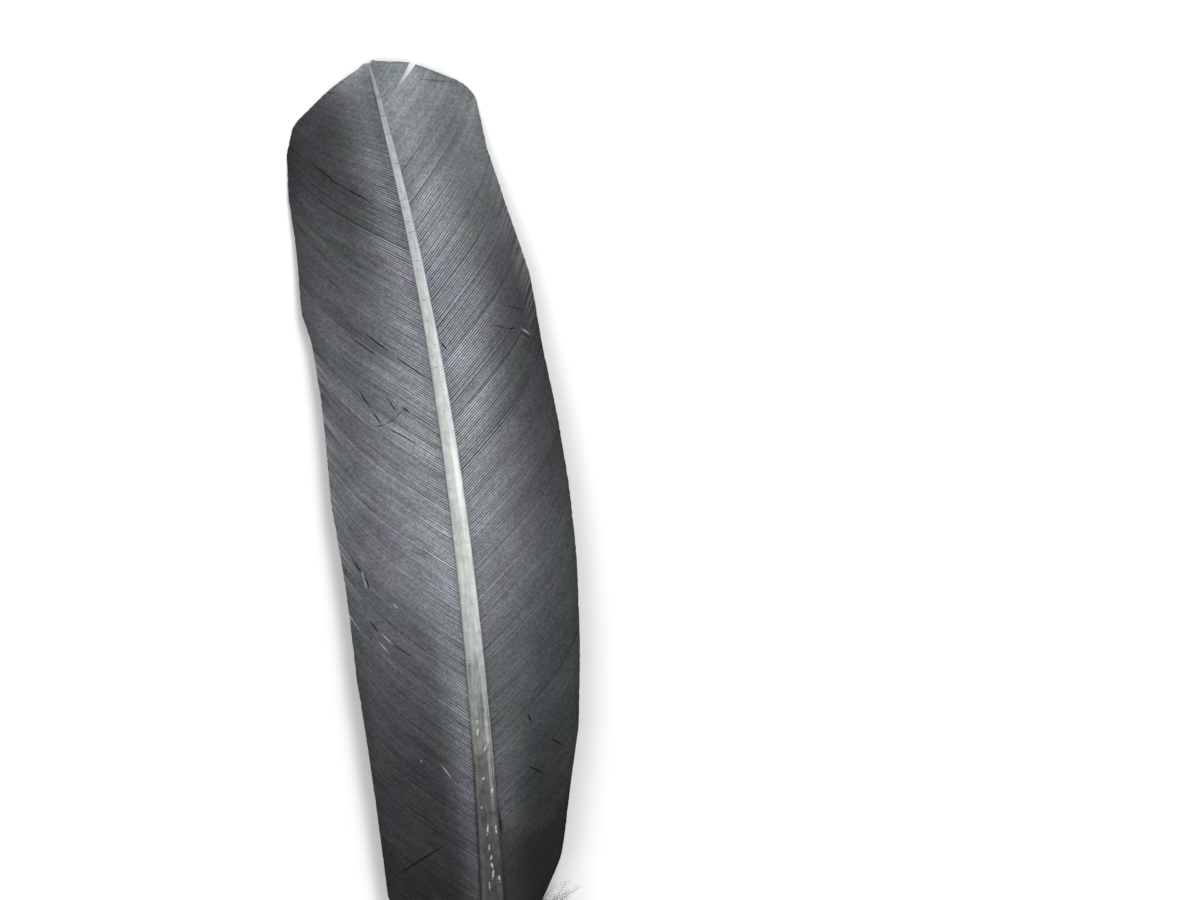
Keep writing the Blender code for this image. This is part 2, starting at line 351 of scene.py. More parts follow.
# The dye took unevenly there, in soft patches
patches = horn.noise(1.0, 4, horn.vector((along, 0.45), (over, 1.3), (up, 1.0)), 0.7)
colour = horn.mix("MULTIPLY", horn.steps(along, (36, 60, 84, 102), (0.15, 1, 1, 0.2)), colour,
                  horn.ramp(patches, (0.36, 0.50), (0.48, 0.96), (0.62, 1.3)))
# Painted light and shade across the shaft: paler on the right and darker on the left along its middle, the
# other way round near the tip
painted_side_light = horn.maths("MULTIPLY", horn.steps(over, (-0.9, -0.3, 0.2, 0.8), (-0.13, 0, 0.05, 0.27)),
                 horn.steps(along, (96, 106, 160, 176, 192), (0.3, 1, 1, 0.3, -0.3)))
colour = horn.mix("MULTIPLY", 1.0, colour, horn.maths("ADD", 1.0, painted_side_light))
map_mm = horn.vector((along, 1.0), (horn.value("across"), 1.0))
torn = horn.noise(1.0, 3, horn.vector((along, 1.6), (over, 3.4), (up, 1.0)), 0.7)
ragged = horn.steps(torn, (0.38, 0.50), (0, 1))
smudged = horn.maths("MULTIPLY", horn.marks(map_mm, SHAFT_SMUDGES, 0.9), horn.maths("MULTIPLY", ragged, 0.75))
colour = horn.mix("MULTIPLY", smudged, colour, SMUDGE_SHADE)
flecked = horn.maths("MULTIPLY", horn.marks(map_mm, SHAFT_FLECKS, 0.5), horn.maths("MULTIPLY", ragged, 0.8))
colour = horn.mix("MIX", flecked, colour, FLECK_COLOUR)
# Painted highlight: pale streaks on the shaft's back stand in for the lamps' reflection
painted_highlight = horn.maths("MULTIPLY", horn.marks(map_mm, SHAFT_PAINTED_HIGHLIGHTS, 0.8),
                    horn.ramp(grain, (0.3, 0.75), (0.6, 1.0)))
colour = horn.mix("MIX", painted_highlight, colour, PAINTED_HIGHLIGHT_COLOUR)
cracks = horn.marks(map_mm, SHAFT_MARKS)
colour = horn.mix("MULTIPLY", horn.maths("MULTIPLY", cracks, 0.38), colour, CRACK_SHADE)
horn.join("Base Color", colour)
horn.join("Roughness", horn.ramp(blotches, (0.3, 0.30), (0.7, 0.44)))
horn.bump((blotches, 0.00012), (grain, 0.00005), (cracks, -0.00006))
piece("shaft", shaft_mesh, horn.material)

# The vanes. Over three hundred barbs leave each side of the shaft, half a millimetre apart.
# Each is a thin keel with two fringes of hooked barbules that lap over the next barb's.
# Bands that were parted and hooked up again lie unevenly, and a few splits stay open.
EDGE_PLACES = {
    "left": np.array([43, 50, 60, 80, 101, 118, 134, 152, 164, 170,
                      182, 192, 200, 205, 206.4, 208.7, 210.4, 212]) * MM,
    "right": np.array([43, 50, 58, 66, 70, 80, 89, 103, 119, 131, 143, 156, 169,
                       181, 192, 201.5, 204.2, 206, 209.4, 210.8, 212]) * MM,
}
EDGE_WIDTHS = {
    "left": np.array([3, 9.5, 18.8, 20.1, 21.6, 21.9, 22.68, 21.7, 21.6, 22.46,
                      21.0, 20.3, 18.7, 16.1, 13.4, 9.5, 5.7, 0.3]) * MM,
    "right": np.array([3, 6, 8.6, 12.7, 13.6, 15.5, 17.5, 19, 20.1, 20.3, 20, 19.3, 19.4,
                       17.8, 16.7, 17, 15.4, 13, 8.3, 5.9, 0.3]) * MM,
}
BARB_PLACES = np.array([44, 70, 100, 130, 145, 162, 186, 196, 206, 212]) * MM
BARB_ANGLES = {
    "left": np.radians([55, 54, 51, 51, 48, 49, 54, 59, 68, 73]),
    "right": np.radians([50, 50, 50, 50, 49, 48, 48, 49, 51, 54]),
}
BARB_END_PLACES = np.array([44, 58, 70, 82, 185, 198, 206, 212]) * MM
BARB_END_ANGLES = {
    "left": np.radians([46, 44, 32, 25, 25, 42, 60, 68]),
    "right": np.radians([46, 44, 32, 25, 25, 40, 50, 54]),
}
BARB_BEND = {"left": 4, "right": 5.5}  # the higher, the nearer the edge the bend sets in
BARB_START_SLOPE = 0.4  # at the shaft a barb leans less than its own angle
BARB_START = 0.2 * MM  # and takes that angle within this width
VANE_FALL = {"left": 0.0088 / MM, "right": 0.0100 / MM}
LEAST_HEIGHT = 0.02 * MM  # where the vane's corners rest on the surface
SIDE_SIGN = {"left": -1, "right": 1}
BARB_PITCH = 0.51 * MM
PITCH_STRAY = 0.04 * MM
FIRST_BARB = 44 * MM
LAST_BARB = 211.85 * MM
BARB_RINGS = 12
# A barb's section, counter-clockwise: toward the tip in pitches, up in mm, and how
# near each corner is to the keel's crest
BARB_LEAD = np.array([0.64, 0.12, -0.12, -0.62, -0.10, 0.10])
BARB_RISE = np.array([0.02, 0.13, 0.13, -0.02, -0.10, -0.10]) * MM
BARB_CREST = np.array([0.0, 1.0, 1.0, 0.0, 0.4, 0.4])
EDGE_LAP = 0.35  # share by which the fringes are wider at the edge
EDGE_KEEL = 0.55  # height of the keel there, as a share of that at the shaft
RING_CROWDING = 1.45  # power by which a barb's rings stand closer near the shaft
RAGGED = 0.0022  # share by which the barbs' lengths differ
BAND_BARBS = (4, 15)  # fewest barbs in a band, and one more than the most
BAND_LIFT = 0.10 * MM
SWELL = 0.22 * MM  # of the vane, in waves along it
SWELL_WAVE = 8.3 * MM
SWEEP = 0.35 * MM  # by which the barbs' ends sway along the edge
SWEEP_WAVES = (5.2 * MM, 17 * MM)
SWEEP_END = 204 * MM  # it fades out over the last stretch before this place
SWEEP_FADE = 12 * MM
CALM_START = 190 * MM  # toward the tip the vane turns smooth
CALM_FADE = 12 * MM
CALM_LIFT = 0.6  # share by which its bands are flatter there
CALM_KEEL = 0.85  # share by which its keels are lower there
FOOT_ROOM = 1 * MM  # the lowest fringe may follow a root this far below the first barb
TIP_ROOM = 0.08 * MM  # the highest one stays this far below the end of the shaft
SPLITS = {  # place of the root, share where it opens, width at the edge, barbs drawn along
    "left": [(90 * MM, 0.68, 0.7 * MM, 4 * MM), (131 * MM, 0.90, 0.4 * MM, 1.5 * MM)],
    "right": [(203.5 * MM, 0.22, 2.1 * MM, 3 * MM), (168 * MM, 0.90, 0.5 * MM, 2 * MM),
              (135 * MM, 0.95, 0.3 * MM, 1 * MM)],
}
# How far out the keels stand out clearly, and how strongly, at places along the shaft
LINES_PLACES = np.array([60, 85, 110, 126, 140, 160, 172, 186, 200, 208]) * MM
LINES_REACH = {
    "left": np.array([3, 5, 7, 8, 7.5, 8, 8, 8, 7, 1]) * MM,
    "right": np.array([3.5, 6, 7.5, 10.5, 13.5, 14, 14, 11, 10, -1]) * MM,
}
LINES_DEPTH = {
    "left": (0.7, 0.6, 0.5, 0.5, 0.6, 0.6, 0.65, 0.7, 0.6, 0.3),
    "right": (0.5, 0.5, 0.5, 0.55, 0.75, 1.0, 1.0, 0.7, 0.5, 0.3),
}
# Tone of the barbs next to the shaft and at the vane's edge, partly the dye's own and partly painted
# light and shade, and how far out the first gives way to the second, at places along the shaft
TONE_PLACES = np.array([62, 80, 100, 124, 144, 165, 185, 200, 212])
TONE_INNER = {
    "left": (0.26, 0.38, 0.45, 0.50, 0.50, 0.44, 0.41, 0.40, 0.42),
    "right": (0.24, 0.31, 0.37, 0.48, 0.47, 0.47, 0.51, 0.50, 0.49),
}
TONE_OUTER = {
    "left": (0.15, 0.21, 0.28, 0.36, 0.37, 0.33, 0.26, 0.21, 0.30),
    "right": (0.14, 0.17, 0.21, 0.24, 0.22, 0.18, 0.37, 0.45, 0.48),
}
TONE_REACH = {
    "left": (3, 3.8, 4.8, 10, 11, 7, 4.5, 6, 6),
    "right": (4, 5, 9, 10, 9, 10.5, 7.5, 7, 8),
}
# Paler and darker spots, partly dye and partly painted light and shade: by how much, place, across, and
# spread along and across, in mm
TONE_SPOTS = {
    "left": [(0.045, 120, 13, 18, 4), (0.13, 212, 3, 2.6, 7)],
    "right": [(0.035, 114, 13.5, 24, 4), (-0.05, 195, 9.5, 9, 4)],
}
# Painted shadow in gaps beside the first barb of a band: least and greatest middle, and least and greatest
# stretch, as shares of the barb. The higher the power, the fewer of them are wide.
GAPS = {"left": (0.0, 0.9, 0.08, 0.35), "right": (-0.05, 0.3, 0.05, 0.22)}
GAP_POWER = {"left": 1, "right": 2}
# Painted shadow in short gaps where single barbs meet the shaft, most of them about one place
ROOT_GAPS = {"left": 0.5, "right": 1.0}
ROOT_GAP_LENGTH = 1.3 * MM
ROOT_GAP_PLACE = 171 * MM
ROOT_GAP_SPREAD = 8 * MM
# Cracks, creases and torn bits, and painted shade beside the shaft's tip: from place and across to place and
# across, width, all in mm
DARK_MARKS_AND_SHADE = [
    (149.5, -7.4, 148.2, -6.1, 0.50), (148.3, -6.2, 144.2, -1.5, 0.24), (146.7, -12.6, 146.7, -10.9, 0.32),
    (146.7, -11.0, 147.6, -8.8, 0.26), (147.5, -9.0, 149.0, -7.2, 0.24), (154.1, -14.7, 149.7, -12.9, 0.34),
    (149.7, -12.9, 146.7, -11.4, 0.38), (146.7, -11.4, 142.0, -5.1, 0.32), (164.6, -12.4, 159.2, -7.5, 0.40),
    (159.2, -7.5, 153.2, -1.6, 0.34), (152.4, -10.1, 148.0, -8.2, 0.28), (164.5, -15.1, 158.5, -9.5, 0.30),
    (123.2, -20.2, 119.6, -18.2, 0.40), (119.6, -18.1, 117.2, -17.6, 0.40),
    (111.4, -18.2, 109.1, -16.8, 0.46),
    (106.9, -14.7, 104.0, -11.0, 0.32), (64.0, -17.9, 70.1, -7.1, 0.56), (164.3, 13.8, 162.7, 17.5, 0.26),
    (161.4, 10.8, 160.1, 13.6, 0.26), (160.1, 13.6, 160.0, 15.4, 0.28), (159.2, 15.9, 157.7, 17.5, 0.30),
    (159.7, 1.5, 158.5, 2.2, 0.50), (206.9, 7.7, 204.5, 14.3, 0.42), (208.9, -8.8, 208.3, -6.4, 0.36),
    # the last stroke on the next line is painted shade along the left of the shaft's tip
    (210.5, -8.0, 209.9, -4.7, 0.34), (206.4, -8.0, 205.6, -5.9, 0.34), (210.9, -0.35, 202.5, -0.70, 0.34),
    (198.0, -15.5, 191.5, -10.6, 0.40), (191.5, -10.6, 186.6, -5.2, 0.34), (92.0, 8.6, 90.6, 9.1, 0.50),
    (87.4, 12.3, 86.0, 14.3, 0.46), (82.9, 7.8, 81.0, 11.0, 0.50), (75.6, 2.2, 70.4, 2.4, 0.40),
]
LIGHT_MARKS = [
    (120.8, -18.7, 119.2, -18.35, 0.32), (119.2, -18.35, 117.3, -18.1, 0.34),
    (107.6, -17.1, 105.0, -15.2, 0.32),
    (109.0, -16.4, 106.6, -14.4, 0.34), (114.1, -13.7, 113.1, -12.8, 0.36), (84.3, -7.7, 81.4, -5.8, 0.32),
    (85.2, -11.2, 84.9, -11.1, 0.28), (159.9, 16.0, 158.4, 17.6, 0.28),
]
RIMS = {"left": (118 * MM, 163 * MM), "right": (163 * MM, 190 * MM)}  # stretches with a pale rim
RIM_STRENGTH = {"left": 1.0, "right": 0.5}
# Where the dye turns greenish: place, across, and how far it spreads along and across, in mm
GREEN_SPOTS = {
    "left": [(212, 4, 4, 9)],
    "right": [(208, 4, 6, 9), (198, 16, 16, 6), (98, 14, 18, 6), (84, 10, 10, 5)],
}
GREEN_SHADE = (0.935, 1.01, 0.955)
GAP_SHADE = (0.08, 0.08, 0.08)
MARK_SHADE = (0.05, 0.05, 0.05)
LIGHT_MARK_COLOUR = (0.46, 0.47, 0.49)
RIM_COLOUR = (0.40, 0.41, 0.43)


def edge_width(side, place):
    """Half-width of the vane, rounded a little between its measured places."""
    near = [np.clip(place + d * MM, 0, SHAFT_LENGTH) for d in (-0.7, 0, 0.7)]
    return np.mean([np.interp(p, EDGE_PLACES[side], EDGE_WIDTHS[side]) for p in near], axis=0)


def barb_place(side, root, reach, share):
    """Place along the shaft of points at shares of the half-width that barbs reach."""
    slope = 1 / np.tan(np.interp(root, BARB_PLACES, BARB_ANGLES[side]))
    bend = 1 / np.tan(np.interp(root, BARB_END_PLACES, BARB_END_ANGLES[side])) - slope
    power = BARB_BEND[side] + 1
    past = np.maximum(reach * share - shaft_radius(root), 0)
    held = (slope - BARB_START_SLOPE) * BARB_START * (1 - np.exp(-past / BARB_START))
    return root + reach * (slope * share + bend * share ** power / power) - held


def barb_reach(side, root):
    """Half-width at which barbs from these roots meet the vane's edge."""
    roots = np.linspace(FIRST_BARB - 2 * MM, SHAFT_LENGTH, 2000)
    tries = np.arange(0, 25 * MM, 0.05 * MM)
    inside = tries < edge_width(side, barb_place(side, roots[:, None], tries, 1))
    return np.interp(root, roots, tries[np.argmin(inside, axis=1)])


def on_vane(side, place, across, height=0.0):
    """Points on one vane: along the shaft, out from it, and above the vane."""
    x, y, z, heading = shaft_line(place)
    out = SIDE_SIGN[side] * across
    z = np.maximum(z - VANE_FALL[side] * across ** 2 + height, LEAST_HEIGHT)
    return np.stack([x + out * np.cos(heading), y + out * np.sin(heading), z], axis=-1)


def copies(name, mesh, count):
    """One mesh that holds so many copies of a small one, copy after copy."""
    maker = bpy.data.objects.new(name, mesh)
    bpy.context.collection.objects.link(maker)
    row = maker.modifiers.new("row", "ARRAY")
    row.count = count
    row.use_relative_offset = False
    made = bpy.data.meshes.new_from_object(maker.evaluated_get(bpy.context.evaluated_depsgraph_get()))
    made.name = name
    bpy.data.objects.remove(maker)
    bpy.data.meshes.remove(mesh)
    return made


def bands(chance, count):
    """For each barb: its band's own level, its place in the band, and if it is the band's first."""
    borders = np.cumsum(chance.integers(*BAND_BARBS, count))
    starts = np.concatenate([[0], borders[borders < count]])
    number = np.searchsorted(starts, np.arange(count), side="right") - 1
    sizes = np.diff(np.append(starts, count))
    part = (np.arange(count) - starts[number]) / sizes[number]
    level = chance.uniform(-1, 1, len(starts))
    return level[number], part, part == 0


def soft_spot(along, across, place, width, long, wide):
    """1 at the middle of a soft oval spot, fading out, all in mm."""
    return np.exp(-((along - place) / long) ** 2 - ((across - width) / wide) ** 2)


def strokes(lines):
    """Oval spots that cover lines from one point to another."""
    spots = []
    for from_along, from_across, to_along, to_across, width in lines:
        along, across = to_along - from_along, to_across - from_across
        spots.append(((from_along + to_along) / 2, (from_across + to_across) / 2,
                      math.hypot(along, across) + width, width, math.degrees(math.atan2(across, along))))
    return spots


def stuck(along, across):
    """1 where the lowest barbs on the right are stuck down, smooth and dark."""
    border = np.interp(across, (2, 3.2, 6.7, 10.3, 13.3, 15.5), (73.5, 72.7, 71.0, 71.5, 76.1, 80))
    return np.clip((border - along) / 0.8, 0, 1)


def dye(side, along, across):
    """How pale the vane is, as a tone from 0 to 1, darkest at its foot: the dye's own tone with painted light
    and shade in it, and a painted shade line beside the shaft.
    """
    inner, outer, reach = (np.interp(along, TONE_PLACES, of[side]) for of in (TONE_INNER, TONE_OUTER, TONE_REACH))
    tone = outer + (inner - outer) * np.exp(-(np.maximum(across - 2, 0) / reach) ** 2.5)
    # painted shade: a narrow dark line beside the shaft, where it shades the barbs' roots
    tone -= 0.03 * np.exp(-((across - 1.2) / 0.9) ** 2)  # a narrow dark line beside the shaft
    for amount, *spot in TONE_SPOTS[side]:
        tone += amount * soft_spot(along, across, *spot)
    if side == "right":
        tone *= 1 - 0.14 * stuck(along, across)
    return tone


def green(side, along, across):
    """How far the dye turns greenish."""
    return np.max([soft_spot(along, across, *spot) for spot in GREEN_SPOTS[side]], axis=0)


def barb_template(side):
    """One barb, with crisp fringes, and each point's corner of the section and share of its length."""
    template = mesh_of("barb", tube(len(BARB_LEAD), BARB_RINGS))
    points = coords(template)
    turn = np.arctan2(points[:, 1], points[:, 0]) / (2 * math.pi)
    corner = np.round((turn - turn.min()) * len(BARB_LEAD)).astype(int)
    corner = corner * SIDE_SIGN[side] % len(BARB_LEAD)  # mirrored on the left, to keep faces outward
    ends = np.array([edge.vertices[:] for edge in template.edges])
    crisp = (BARB_CREST[corner[ends]] == 0).all(axis=1) & (corner[ends[:, 0]] == corner[ends[:, 1]])
    template.attributes.new("sharp_edge", "BOOLEAN", "EDGE").data.foreach_set("value", crisp)
    return template, corner, points[:, 2] ** RING_CROWDING


def corner_roots(side, roots, corner, far):
    """The roots whose paths the barbs' corners follow, past fringes, swaying ends and splits."""
    root = roots + BARB_PITCH * BARB_LEAD[corner] * (1 + EDGE_LAP * far)
    sway = SWEEP * np.clip((SWEEP_END - roots) / SWEEP_FADE, 0, 1)
    root += sway * far ** 2 * np.sin(roots / SWEEP_WAVES[0] + 2 * np.sin(roots / SWEEP_WAVES[1]))
    for place, opens, width, spread in SPLITS[side]:
        away = roots - place
        apart = np.clip((far - opens) / (1 - opens), 0, 1)
        root += np.sign(away) * apart * width / 2 * np.exp(-np.abs(away) / spread)
    return np.clip(root, FIRST_BARB - FOOT_ROOM, SHAFT_LENGTH - TIP_ROOM)


def gap_shadows(side, chance, roots, first, far, from_shaft, calm):
    """How dark the painted shadow in the gap below each barb is, at a band's border and at the shaft."""
    lowest, highest, short, long = GAPS[side]
    shape = roots.shape
    middle = chance.uniform(lowest, highest, shape)
    stretch = chance.uniform(short, long, shape)
    wide = first * chance.uniform(0, 1, shape) ** GAP_POWER[side]
    gap_shadow = wide * np.exp(-((far - middle) / stretch) ** 2)
    at_shaft = chance.uniform(0, 1, shape) ** 1.5 * np.exp(-from_shaft / ROOT_GAP_LENGTH)
    at_shaft *= 1 + 0.8 * np.exp(-((roots - ROOT_GAP_PLACE) / ROOT_GAP_SPREAD) ** 2)
    return np.maximum(gap_shadow, np.minimum(at_shaft, 1) * ROOT_GAPS[side] * (1 - calm)) * (1 - calm)


def smooth_part(place, across):
    """How smooth the right vane is: along its upper rim, and where its lowest barbs are stuck."""
    smooth_rim = np.clip((across / MM - 9) / 4, 0, 1) * np.clip((place / MM - 170) / 12, 0, 1)
    return np.maximum(smooth_rim, 0.8 * stuck(place / MM, across / MM))


def line_strength(side, place, across):
    """How strongly the keels stand out, fading toward the edge."""
    shown = 1 / (1 + np.exp((across - np.interp(place, LINES_PLACES, LINES_REACH[side])) / (1.6 * MM)))
    if side == "right":  # near the tip they fade next to the shaft too
        begin = np.interp(place, (178 * MM, 190 * MM), (-2 * MM, 2.4 * MM))
        shown /= 1 + np.exp((begin - across) / (0.6 * MM))
    return (0.2 + 0.8 * shown) * np.interp(place, LINES_PLACES, LINES_DEPTH[side])


def make_vane(side, seed):
    """All the barbs of one side, from an array of one barb that is laid along their paths."""
    chance = np.random.default_rng(seed)
    count = round((LAST_BARB - FIRST_BARB) / BARB_PITCH)
    roots = np.linspace(FIRST_BARB, LAST_BARB, count) + chance.normal(0, PITCH_STRAY, count)
    roots = np.sort(roots)[:, None]
    level, part, first = (values[:, None] for values in bands(chance, count))
    template, corner, far = barb_template(side)
    root = corner_roots(side, roots, corner, far)
    reach = barb_reach(side, root) * (1 - RAGGED * np.abs(chance.normal(0, 1, (count, 1))))
    start = 0.55 * shaft_radius(root)  # barbs begin inside the shaft
    across = np.maximum(start + (reach - start) * far, 0.1 * MM)
    place = barb_place(side, root, reach, across / np.maximum(reach, 0.3 * MM))
    calm = np.clip((place - CALM_START) / CALM_FADE, 0, 1)
    lift = BAND_LIFT * (level + 2 * part - 1) * np.sin(math.pi * np.clip(far, 0, 0.95)) ** 0.7
    lift += SWELL * np.sin(roots / SWELL_WAVE + 1.5 * far) * far * (1 - far) * 4
    keel = BARB_RISE[corner] * (1 + (EDGE_KEEL - 1) * far) * (1 - CALM_KEEL * calm)
    mesh = copies(f"{side}_vane", template, count)
    set_coords(mesh, on_vane(side, place, across, lift * (1 - CALM_LIFT * calm) + keel).reshape(-1, 3))
    # painted shadow in the gaps below barbs, where bands part and at the shaft
    gap_shadow = gap_shadows(side, chance, roots, first, far, across - start, calm)
    gap_shadow *= np.clip(0.5 - BARB_LEAD[corner], 0, 1)  # only on the side toward the foot
    shade = 1 + 0.03 * chance.normal(0, 1, (count, 1)) + 0.05 * level
    if side == "right":
        calm = np.maximum(calm, smooth_part(place, across))
    depth = line_strength(side, place, across) * (1 - 0.96 * calm) * (0.9 + 0.1 * level)
    low, high = RIMS[side]
    rim = np.clip((far - 0.975) / 0.02, 0, 1) * ((place > low) & (place < high))
    rim *= chance.uniform(0, 1, (count, 1)) ** 2 * RIM_STRENGTH[side]
    # the tone holds the dye together with painted light and shade
    store(mesh, "tone", dye(side, place / MM, across / MM) * shade)
    store(mesh, "green", green(side, place / MM, across / MM))
    store(mesh, "calm", calm)
    store(mesh, "rim", rim)
    store(mesh, "depth", depth)
    store(mesh, "gap_shadow", gap_shadow)
    store(mesh, "crest", np.tile(BARB_CREST[corner], count))
    store(mesh, "far", np.tile(far, count))
    store(mesh, "root", root / MM)
    store(mesh, "place", place / MM)
    store(mesh, "across", across / MM * SIDE_SIGN[side])
    return mesh


barbs = Shader("dyed_barbs", Roughness=0.55, IOR=1.5, Specular_IOR_Level=0.12)
far = barbs.value("far")
root = barbs.value("root")
side_of = barbs.value("across")
crest = barbs.value("crest")
grey = barbs.maths("POWER", barbs.value("tone"), 2.2)
cloud = barbs.noise(1.0, 3, barbs.vector((root, 0.11), (far, 2.6), (side_of, 0.01)))
tint = barbs.ramp(cloud, (0.36, (0.925, 1.0, 1.03)), (0.5, (0.94, 0.985, 1.07)), (0.64, (0.955, 0.975, 1.12)))
colour = barbs.mix("MULTIPLY", 1.0, grey, tint)
colour = barbs.mix("MULTIPLY", barbs.value("green"), colour, GREEN_SHADE)
mottle = barbs.noise(170, 4)
colour = barbs.mix("MULTIPLY", 1.0, colour, barbs.ramp(mottle, (0.3, 0.88), (0.7, 1.12)))
grain = barbs.noise(1900, 2, roughness=0.6)
colour = barbs.mix("MULTIPLY", 1.0, colour, barbs.ramp(grain, (0.3, 0.74), (0.7, 1.26)))
# Streaks run along the barbs: wide and soft, then narrow and crisp
soft_streaks = barbs.noise(1.0, 2, barbs.vector((root, 0.5), (far, 3.0), (side_of, 0.01)))
thin_streaks = barbs.noise(1.0, 3, barbs.vector((root, 2.4), (far, 5.0), (side_of, 0.02)), 0.6)
streaky = barbs.maths("MULTIPLY", barbs.steps(barbs.value("calm"), (0, 1), (1, 0.2)),
                      barbs.steps(side_of, (-0.1, 0.1), (1, 0.45)))
colour = barbs.mix("MULTIPLY", streaky, colour, barbs.ramp(soft_streaks, (0.3, 0.88), (0.7, 1.12)))
colour = barbs.mix("MULTIPLY", streaky, colour,
                   barbs.ramp(thin_streaks, (0.27, 0.42), (0.41, 0.92), (0.60, 1.03), (0.75, 1.45)))
# Between the keels it is darker and on them paler, most of all close to the shaft and where barbs part:
# partly the barbs' own tone, partly painted shade in the grooves and painted light on the keels
stripe = barbs.ramp(crest, (0.2, 0.02), (0.5, 0.24), (0.8, 1.55), (1.0, 2.1))
uneven = barbs.noise(1.0, 2, barbs.vector((root, 0.35), (far, 6.0), (side_of, 0.01)))
shown = barbs.maths("MULTIPLY", barbs.value("depth"), barbs.ramp(uneven, (0.30, 0.75), (0.55, 1.0)))
colour = barbs.mix("MULTIPLY", shown, colour, stripe)
# Painted shadow: the gaps where barbs part are darkened nearly to black
gap = barbs.maths("MULTIPLY", barbs.value("gap_shadow"), barbs.steps(crest, (0.25, 0.75), (1, 0)))
colour = barbs.mix("MULTIPLY", gap, colour, GAP_SHADE)
map_mm = barbs.vector((barbs.value("place"), 1.0), (side_of, 1.0))
dark_marks_and_shade = barbs.marks(map_mm, strokes(DARK_MARKS_AND_SHADE), 0.55)
light_marks = barbs.marks(map_mm, strokes(LIGHT_MARKS), 0.7)
# The marks near the tip are faint
dark_marks_and_shade = barbs.maths("MULTIPLY", dark_marks_and_shade, barbs.steps(barbs.value("place"), (199, 204), (0.95, 0.5)))
# Dark marks: cracks, creases and torn bits, with painted shade beside the shaft's tip
colour = barbs.mix("MULTIPLY", dark_marks_and_shade, colour, MARK_SHADE)
colour = barbs.mix("MIX", barbs.maths("MULTIPLY", light_marks, 0.6), colour, LIGHT_MARK_COLOUR)
colour = barbs.mix("MIX", barbs.maths("MULTIPLY", barbs.value("rim"), 0.55), colour, RIM_COLOUR)
barbs.join("Base Color", colour)
barbs.join("Roughness", barbs.ramp(barbs.noise(900, 2), (0.3, 0.50), (0.7, 0.62)))
barbs.bump((barbs.noise(5200, 2), 0.00001))
piece("left_vane", make_vane("left", 11), barbs.material)
piece("right_vane", make_vane("right", 12), barbs.material)

# The down. Below the vane the barbs are soft and loose, without hooks: each is a limp
# thread with long fine barbules on both sides. They fan out from the top of the quill
# in tufts, some above and some below, and curl toward the tip.
DOWN_BARBS = 54  # on each side
DOWN_PLACES = (38.5 * MM, 53 * MM)
DOWN_LENGTHS = (11 * MM, 15 * MM)  # at the lowest place and the highest
DOWN_ANGLES = (math.radians(84), math.radians(68))
DOWN_CURL = math.radians(26)  # turn of each thread toward the tip
DOWN_SPREAD = 2.2 * MM  # rise or fall of the threads' ends
DOWN_RINGS = 10
DOWN_WIDTH = 0.13 * MM
DOWN_TAPER = np.linspace(1, 0.35, DOWN_RINGS)
DOWN_WAVE = 0.22  # by which the threads waver
BARBULES = 44  # on each thread
BARBULE_LENGTHS = (2.4 * MM, 1.1 * MM)  # at a thread's root and at its end
BARBULE_WIDTH = 0.045 * MM
BARBULE_TAPER = np.array([1, 0.8, 0.3])


def unit(vectors):
    """The same vectors, one long."""
    return vectors / np.maximum(np.linalg.norm(vectors, axis=-1, keepdims=True), 1e-12)


def strands(name, lines, widths):
    """Tapered three-sided strands along lines of points, from an array of one strand."""
    count, rings = lines.shape[:2]
    template = mesh_of(name, tube(3, rings))
    points = coords(template)
    ring = np.round(points[:, 2] * (rings - 1)).astype(int)
    ahead = unit(np.gradient(lines, axis=1))
    over = unit(np.cross(ahead, (0, 0, 1)))
    down = np.cross(ahead, over)
    offset = over[:, ring] * points[:, :1] + down[:, ring] * points[:, 1:2]
    mesh = copies(name, template, count)
    set_coords(mesh, (lines[:, ring] + offset * widths[ring, None] / 2).reshape(-1, 3))
    return mesh


def down_lines(side, chance):
    """Lines of the down's threads on one side."""
    order = np.linspace(0, 1, DOWN_BARBS) + chance.normal(0, 0.02, DOWN_BARBS)
    length = np.interp(order, (0, 1), DOWN_LENGTHS) * chance.uniform(0.72, 1.02, DOWN_BARBS)
    leave = np.interp(order, (0, 1), DOWN_ANGLES) + chance.normal(0, 0.10, DOWN_BARBS)
    curl = DOWN_CURL * chance.uniform(0.4, 1.5, DOWN_BARBS)
    spread = DOWN_SPREAD * chance.uniform(-1, 1, DOWN_BARBS)
    share = np.linspace(0, 1, DOWN_RINGS)[None]
    turn = leave[:, None] - curl[:, None] * share
    turn += DOWN_WAVE * np.sin(7 * share + chance.uniform(0, 6, (DOWN_BARBS, 1))) * share
    step = length[:, None] / (DOWN_RINGS - 1)
    place = np.interp(order, (0, 1), DOWN_PLACES)[:, None] + np.cumsum(step * np.cos(turn), axis=1)
    across = shaft_radius(place[:, :1]) / 2 + np.cumsum(step * np.sin(turn), axis=1)
    return on_vane(side, place, across, spread[:, None] * share ** 1.5)


